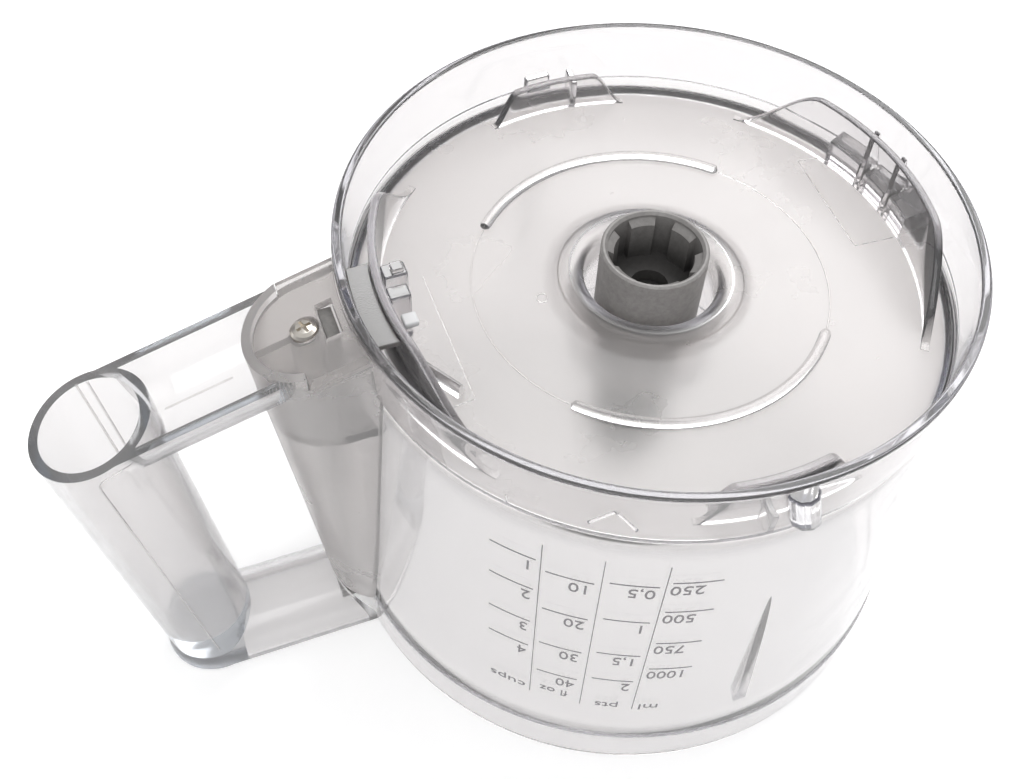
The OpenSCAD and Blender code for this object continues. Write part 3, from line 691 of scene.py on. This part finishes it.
piece("floor_lines", *joined(ridge(round_path(ARC_R, -41, 41, FLOOR_Z), UP, 0.5, 0.14),
                             ridge(round_path(ARC_R, 139, 221, FLOOR_Z), UP, 0.5, 0.14),
                             ridge(round_path(1.4, 0, 350, FLOOR_Z, (-28.8, 3.0)), UP, 0.5, 0.2, True),
                             floor_line((58.5, 27), (56.8, -6.5)), floor_line((56.8, -7), (68, -7.6)),
                             floor_line((58.8, 27.4), (66, 26.4)), floor_line((-55, 20), (-55.4, -21)),
                             floor_line((-55.6, -21.4), (-65, -22.5))),
      CLEAR)

# ---------------------------------------------------------------- ribs inside the wall, key on the skirt


RIB_FOOT, RIB_TIP, RIB_HALF_W, RIB_DEPTH, RIB_EDGE = 25.8, 79.0, 2.2, 4.2, 0.05


def wall_rib(name, degrees):
    """A rib inside the wall: a wedge in plan that shrinks upwards.

    Its half width falls as (1 - t)^0.65 (0.82 + 0.5 t) and its depth as (1 - t)^0.8, t from foot to tip.
    """
    t = np.linspace(0, 1, 40)[:, None]
    z = RIB_FOOT + (RIB_TIP - RIB_FOOT) * t
    width = RIB_HALF_W * (1 - t) ** 0.65 * (0.82 + 0.5 * t) + RIB_EDGE
    reach = RIB_DEPTH * (1 - t) ** 0.8 + RIB_EDGE
    across = np.array([[-1, -0.45, 0, 0.45, 1]])
    inward = np.array([[0, 0.75, 1, 0.75, 0]])
    x = wall_radius(z) - WALL_T - RIB_EDGE - reach * inward
    points = np.stack([x, width * across, z + 0 * x], -1).reshape(-1, 3)
    rows, columns = x.shape
    faces = grid_faces(rows, columns, False, True) + caps(rows, columns)
    return piece(name, turn_z(points, degrees), faces, CLEAR)


wall_rib("wall_rib_near", -90)
wall_rib("wall_rib_far", 90)


KEY_R, KEY_FLUTE, KEY_END, KEY_LEAN = 3.8, 0.08, 0.8, 4.6


def skirt_key():
    """Half-round key up the outside of the skirt, leaning a little.

    In plan a half circle with fine flutes, r = KEY_R + KEY_FLUTE cos(10 a). Its ends are drawn in by a fifth.
    """
    z = np.linspace(SKIRT_LEDGE_Z + 2.6, BOWL_H - 0.2, 60)[:, None]
    a = np.linspace(-np.pi / 2, np.pi / 2, 49)[None]
    ends = np.minimum(1, np.sqrt(np.clip(np.minimum(z - z[0], z[-1] - z) / KEY_END, 0.05, 1)))
    radius = (KEY_R + KEY_FLUTE * np.cos(10 * a)) * (0.8 + 0.2 * ends)
    lean = -KEY_LEAN * (z - z[0]) / (z[-1] - z[0])
    x = skirt_radius(z) + 0.1 + radius * np.cos(a) * 0.95
    y = radius * np.sin(a) + lean
    points = np.stack([x, y, z + 0 * x], -1)
    rows, columns = x.shape
    return turn_z(points.reshape(-1, 3), -90), grid_faces(rows, columns, False, True) + caps(rows, columns)


piece("skirt_key", *skirt_key(), CLEAR)


def on_skirt(degrees, z):
    """Places on the outside of the skirt and the directions that face out of it there."""
    degrees, z = np.broadcast_arrays(np.asarray(degrees, float), np.asarray(z, float))
    out = radial(degrees)
    return out * skirt_radius(z)[:, None] + np.stack([0 * z, 0 * z, z], 1), out


TRIANGLE_AT, TRIANGLE_HALF, TRIANGLE_FOOT, TRIANGLE_TIP = -121.0, 3.7, 116.5, 123.2


def triangle_side(start, stop, tip):
    """One side of the triangle, from its foot to its tip, as a line on the skirt."""
    path = on_skirt(TRIANGLE_AT + np.linspace(start, stop, 16), np.linspace(TRIANGLE_FOOT, tip, 16))
    return ridge(*path, 1.1, 0.45)


short_tick = ridge(*on_skirt(np.full(8, -138.5), np.linspace(113.4, 116, 8)), 0.6, 0.3)
piece("position_triangle", *joined(triangle_side(-TRIANGLE_HALF, 0.1, TRIANGLE_TIP),
                                   triangle_side(TRIANGLE_HALF, 0.3, TRIANGLE_TIP - 0.4), short_tick), CLEAR)

# ---------------------------------------------------------------- lines on the handle


def on_grip(degrees, z, inside=0.0):
    """Places on the grip's outside, or that far inside it, and the level directions that face out of it."""
    degrees, z = np.broadcast_arrays(np.asarray(degrees, float), np.asarray(z, float))
    share = (z - 1) / (face_z(GRIP_OUT) - 1)
    middle = -(GRIP_OUT - GRIP_LEAN * (face_z(GRIP_OUT) - z))
    out = radial(degrees)
    r = (GRIP_END_R + (GRIP_R - GRIP_END_R) * share - inside)[:, None]
    return out * r + np.stack([middle, 0 * z, z], 1), out


# outline of the grip's panel: up its edge (30 points), round its corner (8) and along under the rim (12)
PANEL_EDGE, PANEL_FOOT, PANEL_STOP = -97.0, -90.0, -62.0
EDGE_N, CORNER_N, TOP_N = 30, 8, 12
corner_turn = np.linspace(0, np.pi / 2, CORNER_N)
panel_angle = np.concatenate([np.linspace(PANEL_FOOT, PANEL_EDGE, EDGE_N),
                              PANEL_EDGE + 9 * (1 - np.cos(corner_turn)),
                              np.linspace(PANEL_EDGE + 10, PANEL_STOP, TOP_N)])
panel_rim = face_z(GRIP_OUT - GRIP_R * np.cos(np.radians(panel_angle))) - 2.6
corner_rim, top_rim = panel_rim[EDGE_N:EDGE_N + CORNER_N], panel_rim[EDGE_N + CORNER_N:]
panel_z = np.concatenate([np.linspace(11, corner_rim[0] - 3.2, EDGE_N),
                          corner_rim - 3 * (1 - np.sin(corner_turn)), top_rim])

RAIL_ANGLES, RAIL_N = (96, 84), 20   # two rails down the inside of the grip
rail_z = np.linspace(66, face_z(GRIP_OUT) + 0.1, RAIL_N)
rails = []
for rail_at in RAIL_ANGLES:
    rail_path, rail_out = on_grip(np.full(RAIL_N, rail_at), rail_z, HANDLE_T)
    rails.append(ridge(rail_path, -rail_out, 0.6, 0.3))

ARM_LINE_Y = 4.0                     # a line along the hollow of the base's arm
arm_out = np.linspace(108, 125, 16)
arm_drop = math.sqrt(ARM_IN_R ** 2 - ARM_LINE_Y ** 2) / math.cos(FACE_SLOPE)
arm_line = np.stack([-arm_out, 0 * arm_out + ARM_LINE_Y, face_z(arm_out) - arm_drop], 1)
piece("handle_lines", *joined(ridge(*on_grip(panel_angle, panel_z), 0.55, 0.22), *rails,
                              ridge(arm_line, (0.26, -0.32, 0.91), 0.5, 0.25)), HANDLE)

# ---------------------------------------------------------------- the measuring scale

MARK_PROUD = 0.12
LINE_W = 0.3
CAP_SHARE = 0.69                     # height of a numeral per size of the font
SCALE_MIDDLE = -121.0                # degrees
SCALE_LOW, SCALE_HIGH = 31.8, 100.4
NARROW_LOW, NARROW_GAIN = 0.918, 0.127   # spread of the scale at its low end, and its gain to the high end


def on_wall(points, degrees, height):
    """A flat drawing wrapped on the wall, narrowing towards the rim.

    x runs round, y to the rim, z stands out. The spread about the scale's middle grows evenly with height.
    """
    z = height - points[:, 1]
    r = wall_radius(z) + points[:, 2]
    a = math.radians(degrees - SCALE_MIDDLE) - points[:, 0] / wall_radius(height)
    spread = NARROW_LOW + NARROW_GAIN * (z - SCALE_LOW) / (SCALE_HIGH - SCALE_LOW)
    a = math.radians(SCALE_MIDDLE) + a * spread
    return np.stack([r * np.cos(a), r * np.sin(a), z], 1)


def stroke(length, width, steps=12):
    """A thin flat bar along x, cut up so that it can follow a curve."""
    x = np.linspace(-length / 2, length / 2, steps + 1)[:, None]
    y = np.array([[-1, 1, 1, -1]]) * width / 2
    z = np.array([[-0.05, -0.05, 1, 1]]) * MARK_PROUD
    points = np.stack([x + 0 * y, y + 0 * x, z + 0 * x], -1).reshape(-1, 3)
    return points, grid_faces(steps + 1, 4, False, True) + caps(steps + 1, 4)


def lettering(text, height, wide, align="CENTER"):
    """Numerals or a unit as a thin solid, widened, lined up on its middle, left or right."""
    curve = bpy.data.curves.new("mark", "FONT")
    curve.body = text
    curve.size = height / CAP_SHARE
    curve.extrude = MARK_PROUD / 2
    curve.align_x = align
    curve.resolution_u = 3
    holder = bpy.data.objects.new("mark", curve)
    mesh = bpy.data.meshes.new_from_object(holder)
    points = np.zeros(len(mesh.vertices) * 3, np.float32)
    mesh.vertices.foreach_get("co", points)
    faces = [list(p.vertices) for p in mesh.polygons]
    points = points.reshape(-1, 3).astype(float) * [wide, 1, 1]
    points[:, 1] -= height / 2
    points[:, 2] += MARK_PROUD / 2 - 0.01
    bpy.data.objects.remove(holder)
    bpy.data.curves.remove(curve)
    bpy.data.meshes.remove(mesh)
    return points, faces


# unit, its widening, middle and height; the marks' middle, span and side; each numeral with its mark's height
SCALES = [
    ("cups", 1.5, -136.1, 33.6, -136.4, 8.2, "LEFT",
     [("1", 93.6), ("2", 81.0), ("3", 66.3), ("4", 54.7)]),
    ("fl oz", 1.15, -126.5, 35.4, -126.3, 8.1, "LEFT",
     [("10", 90.4), ("20", 74.4), ("30", 58.3), ("40", 44.3)]),
    ("pts", 1.4, -115.8, 33.0, -115.7, 8.0, "LEFT",
     [("0,5", 92.0), ("1", 76.2), ("1,5", 60.0), ("2", 46.8)]),
    ("ml", 1.5, -107.5, 33.0, -105.5, 8.2, "RIGHT",
     [("250", 93.8), ("500", 81.2), ("750", 66.5), ("1000", 53.7)]),
]
DIVIDERS = (-131.3, -121.0, -110.6)
UNIT_H, NUMERAL_H, NUMERAL_WIDE, NUMERAL_DROP = 2.9, 3.6, 1.06, 3.3


def measuring_scale():
    """Every mark, numeral, unit and divider as one thin raised drawing on the wall."""
    parts = []
    for unit, wide, unit_at, unit_z, marks_at, span, side, marks in SCALES:
        length = math.radians(span) * wall_radius(70)
        p, f = lettering(unit, UNIT_H, wide)
        parts.append((on_wall(p, unit_at, unit_z), f))
        for numeral, z in marks:
            p, f = stroke(length, LINE_W)
            parts.append((on_wall(p, marks_at, z), f))
            p, f = lettering(numeral, NUMERAL_H, NUMERAL_WIDE, side)
            p[:, 0] += length / 2 + 0.3 if side == "RIGHT" else 0.4 - length / 2
            parts.append((on_wall(p, marks_at, z - NUMERAL_DROP), f))
    for degrees in DIVIDERS:
        p, f = stroke(SCALE_HIGH - SCALE_LOW, LINE_W * 0.8, 24)
        p = p[:, [1, 0, 2]] * [-1, 1, 1]
        parts.append((on_wall(p, degrees, (SCALE_HIGH + SCALE_LOW) / 2), f))
    return joined(*parts)


piece("measuring_scale", *measuring_scale(), INK, smooth=False)

# ---------------------------------------------------------------- studio

FLOOR_HALF, FLOOR_LEVEL = 3.0, -0.0002         # metres, a hair below the rim
floor_corners = [(x * FLOOR_HALF, y * FLOOR_HALF, FLOOR_LEVEL)
                 for x, y in ((-1, -1), (1, -1), (1, 1), (-1, 1))]
floor_mesh = bpy.data.meshes.new("studio_floor")
floor_mesh.from_pydata(floor_corners, [], [(0, 1, 2, 3)])
floor_material, _nodes, _links, floor_shader = new_material("pale_floor")
floor_shader.inputs["Base Color"].default_value = (0.90, 0.90, 0.90, 1)
floor_shader.inputs["Emission Color"].default_value = (1, 1, 1, 1)
floor_shader.inputs["Emission Strength"].default_value = 0.4
floor_shader.inputs["Roughness"].default_value = 0.9
floor_shader.inputs["Specular IOR Level"].default_value = 0.0
floor = in_scene("studio_floor", floor_mesh, floor_material)

world = bpy.data.worlds.new("studio")
bpy.context.scene.world = world
world.use_nodes = True
world_nodes, world_links = world.node_tree.nodes, world.node_tree.links
sky = world_nodes["Background"]
direction = world_nodes.new("ShaderNodeTexCoord")
split_sky = world_nodes.new("ShaderNodeSeparateXYZ")
world_links.new(direction.outputs["Generated"], split_sky.inputs["Vector"])
sky_ramp = world_nodes.new("ShaderNodeValToRGB")
stops = sky_ramp.color_ramp.elements
stops[0].position, stops[0].color = 0.0, (0.85, 0.85, 0.86, 1)
stops[1].position, stops[1].color = 0.75, (1.0, 1.0, 1.0, 1)
for rise, grey in ((0.10, 0.72), (0.30, 0.36), (0.45, 0.55)):
    stops.new(rise).color = (grey, grey, grey * 1.03, 1)
world_links.new(split_sky.outputs["Z"], sky_ramp.inputs["Fac"])
world_links.new(sky_ramp.outputs["Color"], sky.inputs["Color"])
sky.inputs["Strength"].default_value = 0.72


def soft_light(name, place, target, size, power):
    """A square soft box that faces a point."""
    lamp = bpy.data.lights.new(name, "AREA")
    lamp.shape = "RECTANGLE"
    lamp.size, lamp.size_y = size
    lamp.energy = power
    box = bpy.data.objects.new(name, lamp)
    box.location = place
    box.rotation_euler = (Vector(target) - Vector(place)).to_track_quat("-Z", "Y").to_euler()
    bpy.context.scene.collection.objects.link(box)


soft_light("overhead", (0.55, 0.5, 1.05), (0.02, -0.03, 0.11), (0.9, 0.9), 8)
soft_light("front", (-0.5, -0.9, 0.9), (0, 0, 0.06), (1.0, 0.8), 5)

CAMERA_PLACE = (-0.1141, -0.1816, 0.3386)
AZIMUTH, ELEVATION, ROLL = math.radians(-23.0), 0.92129, 0.051717
LENS, SENSOR = 42.26, 36
level = math.cos(ELEVATION)
back = Vector((math.sin(AZIMUTH) * level, -math.cos(AZIMUTH) * level, math.sin(ELEVATION)))
right = Vector((math.cos(AZIMUTH), math.sin(AZIMUTH), 0))
up = back.cross(right)
cos_roll, sin_roll = math.cos(ROLL), math.sin(ROLL)
right, up = cos_roll * right + sin_roll * up, -sin_roll * right + cos_roll * up
camera_data = bpy.data.cameras.new("camera")
camera_data.lens = LENS
camera_data.sensor_width = SENSOR
camera_data.clip_start = 0.01
camera = bpy.data.objects.new("camera", camera_data)
camera.matrix_world = Matrix.Translation(CAMERA_PLACE) @ Matrix((right, up, back)).transposed().to_4x4()
bpy.context.scene.collection.objects.link(camera)
bpy.context.scene.camera = camera
bpy.context.scene.view_settings.view_transform = "Standard"
